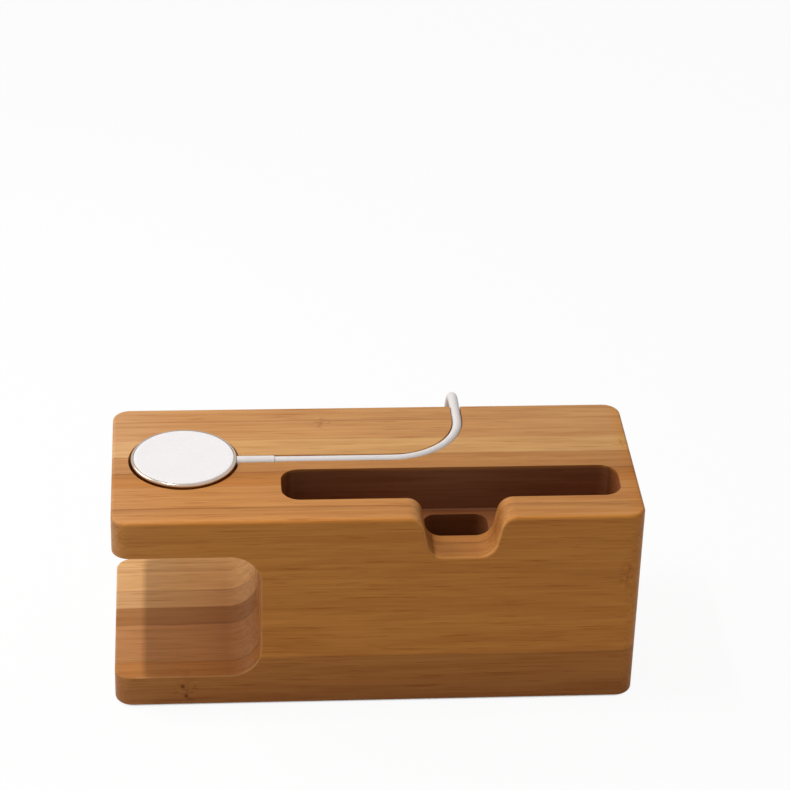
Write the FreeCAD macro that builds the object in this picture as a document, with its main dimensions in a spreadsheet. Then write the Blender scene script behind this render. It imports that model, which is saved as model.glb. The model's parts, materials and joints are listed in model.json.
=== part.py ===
"""Charging dock: a milled bamboo block that holds a phone and a round charging puck with its cable.

Millimetres. +X runs along the block to the right, +Y from its front to its back, +Z up.
The origin is on the table, under the middle of the block.
"""
import FreeCAD
import Part
import Sketcher
import math
import os
import re
from types import SimpleNamespace

Vector = FreeCAD.Vector

# Driving dimensions
SIZES = (
    # Block
    ("block_length", 138.0),
    ("block_depth", 56.5),
    ("block_height", 57.5),
    ("corner_radius", 4.6),
    ("edge_round", 0.9),
    ("cut_overrun", 2.0),
    # Feet, sunk in the block's underside
    ("foot_diameter", 9.0),
    ("foot_thickness", 1.6),
    ("foot_socket_depth", 1.1),
    ("foot_clearance", 0.1),
    ("foot_inset", 11.0),
    # Strap gap through the left end
    ("gap_length", 38.5),
    ("gap_floor", 9.05),
    ("gap_roof", 10.85),
    ("gap_corner_radius", 8.3),
    ("gap_edge_round", 0.5),
    # Phone slot, and the finger notch in its front wall
    ("slot_length", 89.0),
    ("slot_width", 14.7),
    ("slot_depth", 13.0),
    ("slot_corner_radius", 4.9),
    ("slot_front_wall", 10.3),
    ("slot_end_wall", 4.9),
    ("notch_from_right", 47.7),
    ("notch_width", 21.2),
    ("notch_floor_width", 16.4),
    ("notch_depth", 11.9),
    ("notch_corner_radius", 4.6),
    ("notch_flare_radius", 4.2),
    # Way for the phone's own lead: a hole in the slot's floor and a channel under the block
    ("lead_hole_length", 17.0),
    ("lead_hole_width", 11.0),
    ("lead_hole_corner_radius", 3.5),
    ("lead_hole_margin", 0.8),
    ("channel_width", 7.0),
    ("channel_depth", 6.0),
    # Puck recess and cable groove
    ("puck_from_left", 18.9),
    ("puck_from_front", 30.5),
    ("puck_clearance", 0.6),
    ("recess_depth", 7.0),
    ("groove_clearance", 0.1),
    ("groove_end_run", 7.0),
    ("groove_from_left", 93.0),
    ("relief_pocket_taper", 2.3),
    # Puck shell and cover
    ("puck_diameter", 28.0),
    ("puck_height", 8.0),
    ("shell_floor", 0.7),
    ("shell_wall", 1.1),
    ("shell_base_round", 0.8),
    ("rim_width", 0.75),
    ("rim_round", 0.68),
    ("cover_edge", 0.8),
    ("cover_thickness", 1.8),
    ("cover_clearance", 0.05),
    ("cover_round", 0.2),
    ("dish_margin", 0.9),
    ("dish_flat_radius", 4.0),
    ("dish_depth", 0.35),
    # Inside the puck, from the cover down
    ("winding_margin", 0.2),
    ("winding_thickness", 1.4),
    ("magnet_diameter", 7.0),
    ("magnet_clearance", 0.3),
    ("ferrite_margin", 2.3),
    ("ferrite_thickness", 1.2),
    ("board_clearance", 0.6),
    ("board_thickness", 0.8),
    ("film_thickness", 0.2),
    ("film_clearance", 0.1),
    ("chip_length", 5.0),
    ("capacitor_length", 1.6),
    ("capacitor_width", 0.8),
    ("capacitor_margin", 3.0),
    ("wire_diameter", 0.5),
    ("wire_spacing", 0.6),
    ("wire_reach", 1.0),
    # Cable and the collar where it leaves the puck
    ("cable_diameter", 2.7),
    ("cable_drop", 1.9),
    ("relief_wall", 0.25),
    ("relief_length", 10.0),
    ("relief_round", 0.25),
    ("stub_diameter", 1.4),
    ("stub_length", 2.4),
    ("stub_clearance", 0.05),
    # Put-away coil and its tie
    ("coil_inner_radius", 9.8),
    ("coil_gap", 0.5),
    ("tie_width", 6.0),
    ("tie_thickness", 0.35),
    ("tie_slack", 0.15),
    ("tie_corner_radius", 1.2),
    ("table_clearance", 0.1),
    # Plug
    ("plug_relief_length", 8.0),
    ("plug_relief_lip", 0.3),
    ("plug_relief_root", 4.8),
    ("plug_relief_groove", 0.35),
    ("housing_length", 20.0),
    ("housing_width", 15.8),
    ("housing_height", 7.8),
    ("housing_corner_radius", 2.4),
    ("housing_round", 0.7),
    ("socket_depth", 6.5),
    ("socket_clearance", 0.05),
    ("plug_length", 18.5),
    ("plug_width", 12.0),
    ("plug_height", 4.5),
    ("plug_wall", 0.3),
    ("plug_corner_radius", 0.5),
    ("latch_size", 2.3),
    ("latch_spacing", 5.0),
    ("latch_from_tip", 5.2),
    ("tongue_thickness", 1.8),
    ("tongue_clearance", 0.25),
    ("tongue_setback", 0.6),
    ("contact_length", 8.6),
    ("contact_width", 1.0),
    ("contact_thickness", 0.2),
    ("contact_spacing", 2.2),
)

# Counts and shares
COIL_TURNS_IN = 4
COIL_TURNS_OUT = 3.75
COIL_CLIMB_TURNS = 0.5
COIL_STEPS_PER_TURN = 4
COIL_NEIGHBOUR_POINTS = 8
CAPACITOR_COUNT = 6
RELIEF_GROOVE_COUNT = 3
CONTACT_COUNT = 4
CHIP_HEIGHT_SHARE = 0.55
CAPACITOR_HEIGHT_SHARE = 0.4
ARC_SHARE = 0.45
TIE_TURN_SHARE = 0.75
VOLUME_ERROR_SHARE = 0.01
# Two lengths closer than this are the same
SAME_LENGTH = 1e-6

doc = FreeCAD.newDocument("charging_dock")
sheet = doc.addObject("Spreadsheet::Sheet", "dims")
for row, (alias, length) in enumerate(SIZES, start=1):
    sheet.set("A%d" % row, alias)
    sheet.set("B%d" % row, str(length))
    sheet.setAlias("B%d" % row, alias)
doc.recompute()

ALIASES = {alias for alias, length in SIZES}
d = SimpleNamespace(**{alias: float(sheet.get(alias)) for alias in ALIASES})
block_bottom = d.foot_thickness - d.foot_socket_depth
block_top = block_bottom + d.block_height
nodes = []

# Places that several pieces share, as formulas of the sheet's cells
BOTTOM = "(foot_thickness - foot_socket_depth)"
TOP = "(foot_thickness - foot_socket_depth + block_height)"
LEFT = "(-block_length / 2)"
RIGHT = "(block_length / 2)"
FRONT = "(-block_depth / 2)"
BACK = "(block_depth / 2)"
PUCK_X = "(puck_from_left - block_length / 2)"
PUCK_Y = "(puck_from_front - block_depth / 2)"
PUCK_Z = "(%s - recess_depth)" % TOP
PUCK_RADIUS = "(puck_diameter / 2)"
EXIT_X = "(groove_from_left - block_length / 2)"
NOTCH_X = "(block_length / 2 - notch_from_right)"
CABLE_HEIGHT = "(puck_height - cable_drop)"
CABLE_Z = "(%s + %s)" % (PUCK_Z, CABLE_HEIGHT)
RELIEF_DIAMETER = "(cable_diameter + 2 * relief_wall)"
COIL_PITCH = "(cable_diameter + coil_gap)"
# The puck's inside: its bore, what lies across it, and levels counted from the puck's underside
BORE_RADIUS = "(puck_diameter / 2 - shell_wall)"
BOARD_RADIUS = "(%s - board_clearance)" % BORE_RADIUS
FERRITE_RADIUS = "(%s - ferrite_margin)" % BOARD_RADIUS
WINDING_RADIUS = "(%s - winding_margin)" % FERRITE_RADIUS
COVER_UNDERSIDE = "(puck_height - cover_thickness)"
WINDING_UNDERSIDE = "(%s - winding_thickness)" % COVER_UNDERSIDE
FERRITE_UNDERSIDE = "(%s - ferrite_thickness)" % WINDING_UNDERSIDE
BOARD_UNDERSIDE = "(%s - board_thickness)" % FERRITE_UNDERSIDE
ROOM_UNDER_BOARD = "(%s - shell_floor - film_thickness)" % BOARD_UNDERSIDE


# Helpers for parametric features

def formula(text):
    """The text with each size's name turned into a reference to its cell."""
    return re.sub(r"[a-z_]+", lambda m: "dims." + m.group() if m.group() in ALIASES else m.group(), text)


def bind(target, prop, text):
    """Tie a property to a formula of the sheet's cells."""
    target.setExpression(prop, formula(text))


def place(target, x, y, z):
    """Tie an object's place to formulas."""
    bind(target, "Placement.Base.x", x)
    bind(target, "Placement.Base.y", y)
    bind(target, "Placement.Base.z", z)


def keep(target, label):
    """Name a finished sub-part, which becomes a node."""
    target.Label = label
    nodes.append(target)
    return target


def new_body(label):
    body = doc.addObject("PartDesign::Body", label + "_body")
    return keep(body, label)


def sketch_on(body, role, name, level="0"):
    """A sketch on one of the body's own origin planes, raised to a level along the plane's normal."""
    plane = next(feature for feature in body.Origin.OriginFeatures if feature.Role == role)
    sketch = body.newObject("Sketcher::SketchObject", name)
    sketch.AttachmentSupport = (plane, [""])
    sketch.MapMode = "FlatFace"
    bind(sketch, "AttachmentOffset.Base.z", level)
    return sketch


def constrain(sketch, constraint, text):
    """Add a constraint whose value is a formula."""
    index = sketch.addConstraint(constraint)
    bind(sketch, "Constraints[%d]" % index, text)


def fix_point(sketch, geometry, end, where):
    """Tie one point of a sketch to its distances from the sketch's origin."""
    for kind, text in zip(("DistanceX", "DistanceY"), where):
        constrain(sketch, Sketcher.Constraint(kind, -1, 1, geometry, end, 1.0), text)


def arc_middle(start, heading, end):
    """Middle point of the arc that leaves start along heading and ends at end."""
    chord = end - start
    along = Vector(chord).normalize()
    angle = heading.getAngle(along)
    aside = heading - along * heading.dot(along)
    aside.normalize()
    return (start + end) * 0.5 + aside * (chord.Length / 2 * math.tan(angle / 2))


def outline(sketch, runs):
    """A closed outline of straight runs. Runs that don't meet are joined by an arc tangent to the first."""
    lines = []
    for number in range(len(runs)):
        segment = Part.LineSegment(Vector(number, 0, 0), Vector(number, 1, 0))
        lines.append(sketch.addGeometry(segment, False))
    for line, (start, end) in zip(lines, runs):
        fix_point(sketch, line, 1, start)
        fix_point(sketch, line, 2, end)
    doc.recompute()
    for number, line in enumerate(lines):
        following = lines[(number + 1) % len(lines)]
        if runs[number][1] == runs[(number + 1) % len(runs)][0]:
            continue
        before = sketch.Geometry[line]
        leaving = before.EndPoint
        arriving = sketch.Geometry[following].StartPoint
        heading = (leaving - before.StartPoint).normalize()
        middle = arc_middle(leaving, heading, arriving)
        # A sketch keeps its arcs counter-clockwise
        clockwise = heading.cross(arriving - leaving).z < 0
        ends = (arriving, leaving) if clockwise else (leaving, arriving)
        near_end, far_end = (2, 1) if clockwise else (1, 2)
        arc = sketch.addGeometry(Part.Arc(ends[0], middle, ends[1]), False)
        sketch.addConstraint(Sketcher.Constraint("Tangent", line, 2, arc, near_end))
        sketch.addConstraint(Sketcher.Constraint("Coincident", arc, far_end, following, 1))


def polygon(sketch, corners):
    """A closed outline of straight lines through the corners."""
    outline(sketch, list(zip(corners, corners[1:] + corners[:1])))


def rectangle(sketch, left, right, low, high):
    polygon(sketch, [(left, low), (right, low), (right, high), (left, high)])


def rounded_rectangle(sketch, left, right, low, high, radius):
    outline(sketch, [
        ((left + " + " + radius, low), (right + " - " + radius, low)),
        ((right, low + " + " + radius), (right, high + " - " + radius)),
        ((right + " - " + radius, high), (left + " + " + radius, high)),
        ((left, high + " - " + radius), (left, low + " + " + radius)),
    ])


def circle(sketch, x, y, diameter):
    index = sketch.addGeometry(Part.Circle(Vector(0, 0, 0), Vector(0, 0, 1), 1.0), False)
    fix_point(sketch, index, 3, (x, y))
    constrain(sketch, Sketcher.Constraint("Diameter", index, 1.0), diameter)


def pad(body, sketch, length):
    feature = body.newObject("PartDesign::Pad", sketch.Name + "_pad")
    feature.Profile = sketch
    bind(feature, "Length", length)
    doc.recompute()
    return feature


def pocket(body, sketch, depth=None, upward=False):
    """Cut a sketch into the body: to a depth against its plane's normal, or right through without one."""
    before = body.Shape.Volume
    feature = body.newObject("PartDesign::Pocket", sketch.Name + "_pocket")
    feature.Profile = sketch
    feature.Reversed = upward
    if depth is None:
        feature.Type = "ThroughAll"
    else:
        bind(feature, "Length", depth)
    doc.recompute()
    if not body.Shape.Volume < before:
        raise RuntimeError("%s cuts nothing" % feature.Name)
    return feature


def revolve(body, sketch, axis):
    feature = body.newObject("PartDesign::Revolution", sketch.Name + "_turned")
    feature.Profile = sketch
    feature.ReferenceAxis = (sketch, [axis])
    feature.Angle = 360.0
    doc.recompute()
    return feature


def round_edges(body, name, radius, wanted):
    """Round the edges that the test picks."""
    base = body.Tip
    names = ["Edge%d" % number for number, edge in enumerate(base.Shape.Edges, start=1) if wanted(edge)]
    feature = body.newObject("PartDesign::Fillet", name)
    feature.Base = (base, names)
    bind(feature, "Radius", radius)
    doc.recompute()
    return feature


def near(first, second):
    return abs(first - second) < SAME_LENGTH


def edge_points(edge):
    """The two ends and the middle of an edge."""
    low, high = edge.ParameterRange
    return [edge.valueAt(low), edge.valueAt((low + high) / 2), edge.valueAt(high)]


# Block

def block_wall_distance(point):
    """Distance of a point from the block's upright wall, seen from above."""
    across_x = abs(point.x) - (d.block_length / 2 - d.corner_radius)
    across_y = abs(point.y) - (d.block_depth / 2 - d.corner_radius)
    if across_x > 0 and across_y > 0:
        return math.hypot(across_x, across_y) - d.corner_radius
    return max(across_x, across_y) - d.corner_radius


def on_block_wall(edge):
    """True for a sharp edge in the block's upright wall, and not for the seams of its rounded corners."""
    points = edge_points(edge)
    if not all(near(block_wall_distance(point), 0) for point in points):
        return False
    upright = all(near(point.x, points[0].x) and near(point.y, points[0].y) for point in points)
    in_flank = near(abs(points[0].x), d.block_length / 2)
    at_corner = near(abs(points[0].x), d.block_length / 2 - d.corner_radius)
    return not (upright and (in_flank or at_corner))


def on_gap_rim(edge):
    """True for the edges between the strap gap and the block's upright wall."""
    floor = block_bottom + d.gap_floor - SAME_LENGTH
    roof = block_top - d.gap_roof + SAME_LENGTH
    inner_end = d.gap_length - d.block_length / 2 + SAME_LENGTH
    in_gap = all(point.x < inner_end and floor < point.z < roof for point in edge_points(edge))
    return in_gap and on_block_wall(edge)


def on_outer_rim(edge):
    """True for the other edges of the block's upright wall."""
    return on_block_wall(edge) and not on_gap_rim(edge)


def on_notch_shoulder(edge):
    """True for the two edges between the notch's sides and the block's top."""
    middle = d.block_length / 2 - d.notch_from_right
    points = edge_points(edge)
    on_top = all(near(point.z, block_top) for point in points)
    on_side = all(near(abs(point.x - middle), d.notch_width / 2) for point in points)
    return on_top and on_side


def make_block():
    body = new_body("bamboo_block")
    blank = sketch_on(body, "XY_Plane", "blank", BOTTOM)
    rounded_rectangle(blank, LEFT, RIGHT, FRONT, BACK, "corner_radius")
    pad(body, blank, "block_height")

    # Strap gap: open at the left, with a rounded inner end
    gap = sketch_on(body, "XZ_Plane", "strap_gap", BACK)
    gap_left = LEFT + " - cut_overrun"
    gap_end = LEFT + " + gap_length"
    floor = BOTTOM + " + gap_floor"
    roof = TOP + " - gap_roof"
    outline(gap, [
        ((gap_left, floor), (gap_end + " - gap_corner_radius", floor)),
        ((gap_end, floor + " + gap_corner_radius"), (gap_end, roof + " - gap_corner_radius")),
        ((gap_end + " - gap_corner_radius", roof), (gap_left, roof)),
        ((gap_left, roof), (gap_left, floor)),
    ])
    pocket(body, gap)

    slot = sketch_on(body, "XY_Plane", "phone_slot", TOP)
    slot_right = RIGHT + " - slot_end_wall"
    slot_front = FRONT + " + slot_front_wall"
    rounded_rectangle(slot, slot_right + " - slot_length", slot_right, slot_front,
                      slot_front + " + slot_width", "slot_corner_radius")
    pocket(body, slot, "slot_depth")

    # Finger notch: a U through the slot's front wall, whose sides lean outward and end in flared shoulders
    notch = sketch_on(body, "XZ_Plane", "finger_notch", BACK)
    lean = "((notch_width - notch_floor_width) / 2)"
    side_length = "sqrt(%s ^ 2 + notch_depth ^ 2)" % lean
    corner_reach = "(notch_corner_radius * (%s - %s) / notch_depth)" % (side_length, lean)
    floor_half = "(notch_floor_width / 2 - %s)" % corner_reach
    corner_half = "(notch_floor_width / 2 + %s * %s / %s)" % (corner_reach, lean, side_length)
    over_half = "(notch_width / 2 + cut_overrun * %s / notch_depth)" % lean
    notch_floor = TOP + " - notch_depth"
    corner_top = "%s + %s * notch_depth / %s" % (notch_floor, corner_reach, side_length)
    over_top = TOP + " + cut_overrun"
    outline(notch, [
        ((NOTCH_X + " - " + floor_half, notch_floor), (NOTCH_X + " + " + floor_half, notch_floor)),
        ((NOTCH_X + " + " + corner_half, corner_top), (NOTCH_X + " + " + over_half, over_top)),
        ((NOTCH_X + " + " + over_half, over_top), (NOTCH_X + " - " + over_half, over_top)),
        ((NOTCH_X + " - " + over_half, over_top), (NOTCH_X + " - " + corner_half, corner_top)),
    ])
    pocket(body, notch, "slot_front_wall + slot_width / 2")
    round_edges(body, "notch_flare", "notch_flare_radius", on_notch_shoulder)
    round_edges(body, "edge_rounding", "edge_round", on_outer_rim)
    round_edges(body, "gap_rounding", "gap_edge_round", on_gap_rim)

    recess = sketch_on(body, "XY_Plane", "puck_recess", TOP)
    circle(recess, PUCK_X, PUCK_Y, "puck_diameter + 2 * puck_clearance")
    pocket(body, recess, "recess_depth")

    # Cable groove: from the puck along the block, then round to the back
    groove = sketch_on(body, "XY_Plane", "cable_groove", TOP)
    half_width = "(cable_diameter / 2 + groove_clearance)"
    near_side = PUCK_Y + " - " + half_width
    far_side = PUCK_Y + " + " + half_width
    bend_y = BACK + " - groove_end_run"
    bend_x = "%s - (%s - %s)" % (EXIT_X, bend_y, PUCK_Y)
    groove_left = EXIT_X + " - " + half_width
    groove_right = EXIT_X + " + " + half_width
    past_back = BACK + " + cut_overrun"
    outline(groove, [
        ((PUCK_X, near_side), (bend_x, near_side)),
        ((groove_right, bend_y), (groove_right, past_back)),
        ((groove_right, past_back), (groove_left, past_back)),
        ((groove_left, past_back), (groove_left, bend_y)),
        ((bend_x, far_side), (PUCK_X, far_side)),
        ((PUCK_X, far_side), (PUCK_X, near_side)),
    ])
    pocket(body, groove, "%s - %s + %s" % (TOP, CABLE_Z, half_width))

    # Wider start of the groove, for the collar on the cable
    collar = sketch_on(body, "XY_Plane", "relief_pocket", TOP)
    collar_half = "(%s / 2 + groove_clearance)" % RELIEF_DIAMETER
    collar_end = "%s + %s + relief_length + groove_clearance" % (PUCK_X, PUCK_RADIUS)
    taper_end = collar_end + " + relief_pocket_taper"
    polygon(collar, [
        (PUCK_X, PUCK_Y + " - " + collar_half),
        (collar_end, PUCK_Y + " - " + collar_half),
        (taper_end, near_side),
        (taper_end, far_side),
        (collar_end, PUCK_Y + " + " + collar_half),
        (PUCK_X, PUCK_Y + " + " + collar_half),
    ])
    pocket(body, collar, "%s - %s + %s" % (TOP, CABLE_Z, collar_half))

    # Way for the phone's lead: down from the slot, then out under the back
    hole_front = slot_front + " + lead_hole_margin"
    hole = sketch_on(body, "XY_Plane", "lead_hole", BOTTOM)
    rounded_rectangle(hole, NOTCH_X + " - lead_hole_length / 2", NOTCH_X + " + lead_hole_length / 2",
                      hole_front, hole_front + " + lead_hole_width", "lead_hole_corner_radius")
    pocket(body, hole, upward=True)
    channel = sketch_on(body, "XY_Plane", "lead_channel", BOTTOM)
    rectangle(channel, NOTCH_X + " - channel_width / 2", NOTCH_X + " + channel_width / 2",
              hole_front + " + lead_hole_width / 2", past_back)
    pocket(body, channel, "channel_depth", upward=True)

    sockets = sketch_on(body, "XY_Plane", "foot_sockets", BOTTOM)
    for x, y in foot_places():
        circle(sockets, x, y, "foot_diameter + 2 * foot_clearance")
    pocket(body, sockets, "foot_socket_depth", upward=True)


def foot_places():
    """The four feet's centres, as formulas."""
    return [(x, y) for x in (LEFT + " + foot_inset", RIGHT + " - foot_inset")
            for y in (FRONT + " + foot_inset", BACK + " - foot_inset")]


def make_feet():
    feet = []
    for number, (x, y) in enumerate(foot_places(), start=1):
        foot = doc.addObject("Part::Cylinder", "foot_%d" % number)
        bind(foot, "Radius", "foot_diameter / 2")
        bind(foot, "Height", "foot_thickness")
        place(foot, x, y, "0")
        feet.append(foot)
    group = doc.addObject("Part::Compound", "feet")
    group.Links = feet
    keep(group, "anti_slip_feet")


# Puck: every piece is drawn about the puck's axis, from the puck's underside

def puck_body(label):
    body = new_body(label)
    place(body, PUCK_X, PUCK_Y, PUCK_Z)
    return body


def make_puck_shell():
    body = puck_body("puck_shell")
    profile = sketch_on(body, "XZ_Plane", "shell_profile")
    ledge = "puck_height - cover_edge"
    mouth = PUCK_RADIUS + " - rim_width"
    outline(profile, [
        (("0", "0"), (PUCK_RADIUS + " - shell_base_round", "0")),
        ((PUCK_RADIUS, "shell_base_round"), (PUCK_RADIUS, "puck_height - rim_round")),
        ((PUCK_RADIUS + " - rim_round", "puck_height"), (mouth, "puck_height")),
        ((mouth, "puck_height"), (mouth, ledge)),
        ((mouth, ledge), (BORE_RADIUS, ledge)),
        ((BORE_RADIUS, ledge), (BORE_RADIUS, "shell_floor")),
        ((BORE_RADIUS, "shell_floor"), ("0", "shell_floor")),
        (("0", "shell_floor"), ("0", "0")),
    ])
    revolve(body, profile, "V_Axis")
    entry = sketch_on(body, "YZ_Plane", "cable_entry")
    circle(entry, "0", CABLE_HEIGHT, "stub_diameter + 2 * stub_clearance")
    pocket(body, entry, upward=True)


def make_puck_cover():
    body = puck_body("puck_cover")
    profile = sketch_on(body, "XZ_Plane", "cover_profile")
    rim = PUCK_RADIUS + " - rim_width - cover_clearance"
    ledge = "puck_height - cover_edge"
    hollow = "puck_height - dish_depth"
    outline(profile, [
        (("0", hollow), ("dish_flat_radius", hollow)),
        ((rim + " - dish_margin", "puck_height"), (rim + " - cover_round", "puck_height")),
        ((rim, "puck_height - cover_round"), (rim, ledge)),
        ((rim, ledge), (FERRITE_RADIUS, ledge)),
        ((FERRITE_RADIUS, ledge), (FERRITE_RADIUS, COVER_UNDERSIDE)),
        ((FERRITE_RADIUS, COVER_UNDERSIDE), ("0", COVER_UNDERSIDE)),
        (("0", COVER_UNDERSIDE), ("0", hollow)),
    ])
    revolve(body, profile, "V_Axis")


def make_puck_disc(label, radius, bore_radius, level, thickness):
    """A flat disc or ring on the puck's axis."""
    body = puck_body(label)
    rings = sketch_on(body, "XY_Plane", label + "_rings", level)
    circle(rings, "0", "0", "2 * " + radius)
    if bore_radius is not None:
        circle(rings, "0", "0", "2 * " + bore_radius)
    pad(body, rings, thickness)


def make_puck_inside():
    magnet_radius = "(magnet_diameter / 2)"
    magnet_bore = "(magnet_diameter / 2 + magnet_clearance)"
    film_radius = "(%s - film_clearance)" % BORE_RADIUS
    make_puck_disc("induction_coil", WINDING_RADIUS, magnet_bore, WINDING_UNDERSIDE, "winding_thickness")
    make_puck_disc("ferrite_ring", FERRITE_RADIUS, magnet_bore, FERRITE_UNDERSIDE, "ferrite_thickness")
    make_puck_disc("alignment_magnet", magnet_radius, None, FERRITE_UNDERSIDE,
                   "winding_thickness + ferrite_thickness")
    make_puck_disc("charge_board", BOARD_RADIUS, None, BOARD_UNDERSIDE, "board_thickness")
    make_puck_disc("insulating_film", film_radius, None, "shell_floor", "film_thickness")


def make_board_part(name, length, width, height, angle, reach):
    """A small part soldered under the board, turned to face the board's middle."""
    box = doc.addObject("Part::Box", name)
    bind(box, "Length", length)
    bind(box, "Width", width)
    bind(box, "Height", height)
    box.Placement.Rotation = FreeCAD.Rotation(Vector(0, 0, 1), angle)
    cosine = "cos(%f)" % angle
    sine = "sin(%f)" % angle
    along = "(%s - (%s) / 2)" % (reach, length)
    across = "((%s) / 2)" % width
    place(box,
          "%s + %s * %s + %s * %s" % (PUCK_X, along, cosine, across, sine),
          "%s + %s * %s - %s * %s" % (PUCK_Y, along, sine, across, cosine),
          "%s + %s - %s" % (PUCK_Z, BOARD_UNDERSIDE, height))
    return box


def make_board_parts():
    chip_height = "(%s * %s)" % (ROOM_UNDER_BOARD, CHIP_HEIGHT_SHARE)
    capacitor_height = "(%s * %s)" % (ROOM_UNDER_BOARD, CAPACITOR_HEIGHT_SHARE)
    reach = "(%s - capacitor_margin - capacitor_length / 2)" % BOARD_RADIUS
    parts = [make_board_part("controller", "chip_length", "chip_length", chip_height, 0, "0")]
    for number in range(CAPACITOR_COUNT):
        angle = 360.0 * (number + 0.5) / CAPACITOR_COUNT
        parts.append(make_board_part("capacitor_%d" % (number + 1), "capacitor_length", "capacitor_width",
                                     capacitor_height, angle, reach))
    group = doc.addObject("Part::Compound", "soldered_parts")
    group.Links = parts
    keep(group, "board_parts")


def make_strain_relief():
    """The collar on the cable, with a stub that passes through the shell's wall."""
    body = new_body("puck_strain_relief")
    place(body, PUCK_X + " + " + PUCK_RADIUS, PUCK_Y, CABLE_Z)
    profile = sketch_on(body, "XZ_Plane", "relief_profile")
    outside = RELIEF_DIAMETER + " / 2"
    outline(profile, [
        (("-stub_length", "0"), ("relief_length", "0")),
        (("relief_length", "0"), ("relief_length", outside + " - relief_round")),
        (("relief_length - relief_round", outside), ("0", outside)),
        (("0", outside), ("0", "stub_diameter / 2")),
        (("0", "stub_diameter / 2"), ("-stub_length", "stub_diameter / 2")),
        (("-stub_length", "stub_diameter / 2"), ("-stub_length", "0")),
    ])
    revolve(body, profile, "H_Axis")


# Tubes along straight runs and tangent arcs

def rounded_path(points):
    """Edges of a route whose corners are arcs as large as their runs allow, and those arcs' radii."""
    edges = []
    radii = []
    start = points[0]
    for before, corner, after in zip(points, points[1:], points[2:]):
        arriving = corner - before
        leaving = after - corner
        reach = ARC_SHARE * min(arriving.Length, leaving.Length)
        radii.append(reach / math.tan(arriving.getAngle(leaving) / 2))
        heading = Vector(arriving).normalize()
        arc_start = corner - heading * reach
        arc_end = corner + Vector(leaving).normalize() * reach
        edges.append(Part.LineSegment(start, arc_start))
        edges.append(Part.Arc(arc_start, arc_middle(arc_start, heading, arc_end), arc_end))
        start = arc_end
    edges.append(Part.LineSegment(start, points[-1]))
    return edges, radii


def tube(edges, diameter):
    """A round solid along the edges, whose volume is compared with its section times its length."""
    wire = Part.Wire([edge.toShape() for edge in edges])
    first = edges[0]
    heading = first.EndPoint - first.StartPoint
    section = Part.Wire([Part.Circle(first.StartPoint, heading, diameter / 2).toShape()])
    solid = wire.makePipeShell([section], True, False)
    expected = math.pi * diameter ** 2 / 4 * wire.Length
    if abs(solid.Volume / expected - 1) > VOLUME_ERROR_SHARE:
        raise RuntimeError("a tube has the volume %.1f, not %.1f" % (solid.Volume, expected))
    return solid, wire.Length


def keep_shape(label, shape):
    feature = doc.addObject("Part::Feature", label + "_shape")
    feature.Shape = shape
    keep(feature, label)


def keep_tube(label, edges, radii):
    solid, length = tube(edges, d.cable_diameter)
    keep_shape(label, solid)
    listed = " ".join("%.1f" % radius for radius in radii)
    print("%s: %.1f mm long, arc radii %s" % (label, length, listed or "none"))
    return length


# Cable

puck_x = d.puck_from_left - d.block_length / 2
puck_y = d.puck_from_front - d.block_depth / 2
exit_x = d.groove_from_left - d.block_length / 2
cable_z = block_top - d.recess_depth + d.puck_height - d.cable_drop
groove_end = Vector(exit_x, d.block_depth / 2, cable_z)
bend_radius = d.block_depth / 2 - d.groove_end_run - puck_y
coil_pitch = d.cable_diameter + d.coil_gap

# Route of the drop: its upper points are counted from the groove's back end, its lower ones from the coil
DROP_FROM_GROOVE = ((0.0, -6.25, 0.0), (0.0, 4.5, 0.0), (0.0, 13.2, -6.4), (0.6, 16.6, -17.5),
                    (0.9, 16.0, -29.8))
DROP_TO_COIL = ((1.9, -21.3, 12.3), (1.3, -16.8, 4.6), (0.2, -9.0, 0.0), (0.0, 0.0, 0.0))
# Route of the tail, counted from the coil's end
TAIL_FROM_COIL = ((0.0, 0.0, 0.0), (-9.0, 0.2, 0.0), (-17.8, -2.0, -1.05), (-26.0, -5.4, -1.05))
# The coil's middle, counted from the groove's back end
COIL_MIDDLE = (-24.0, 40.2)

coil_outer_radius = d.coil_inner_radius + COIL_TURNS_IN * coil_pitch
coil_total_turns = COIL_TURNS_IN + COIL_CLIMB_TURNS + COIL_TURNS_OUT
coil_low_z = d.table_clearance + d.tie_thickness + d.tie_slack + d.cable_diameter / 2
coil_middle = Vector(groove_end.x + COIL_MIDDLE[0], groove_end.y + COIL_MIDDLE[1], coil_low_z)


def coil_state(turn):
    """Radius and height of the coil's line after some turns, and how fast they change in a turn.

    The line spirals in on the table, climbs a layer in the half turn where it reverses, and spirals out.
    """
    if turn <= COIL_TURNS_IN:
        return coil_outer_radius - coil_pitch * turn, 0.0, -coil_pitch, 0.0
    climbed = turn - COIL_TURNS_IN
    if climbed >= COIL_CLIMB_TURNS:
        radius = d.coil_inner_radius + coil_pitch * (climbed - COIL_CLIMB_TURNS)
        return radius, coil_pitch, coil_pitch, 0.0
    share = climbed / COIL_CLIMB_TURNS
    radius = d.coil_inner_radius - coil_pitch * COIL_CLIMB_TURNS * (share - share ** 2)
    height = coil_pitch * (3 * share ** 2 - 2 * share ** 3)
    radius_rate = -coil_pitch * (1 - 2 * share)
    height_rate = coil_pitch * 6 * (share - share ** 2) / COIL_CLIMB_TURNS
    return radius, height, radius_rate, height_rate


def coil_point(turn):
    """A point of the coil's line and the way it runs there."""
    radius, height, radius_rate, height_rate = coil_state(turn)
    angle = 2 * math.pi * turn
    outward = Vector(math.cos(angle), math.sin(angle), 0)
    onward = Vector(-math.sin(angle), math.cos(angle), 0)
    tangent = outward * radius_rate + onward * (2 * math.pi * radius) + Vector(0, 0, height_rate)
    return coil_middle + outward * radius + Vector(0, 0, height), tangent.normalize()


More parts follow.
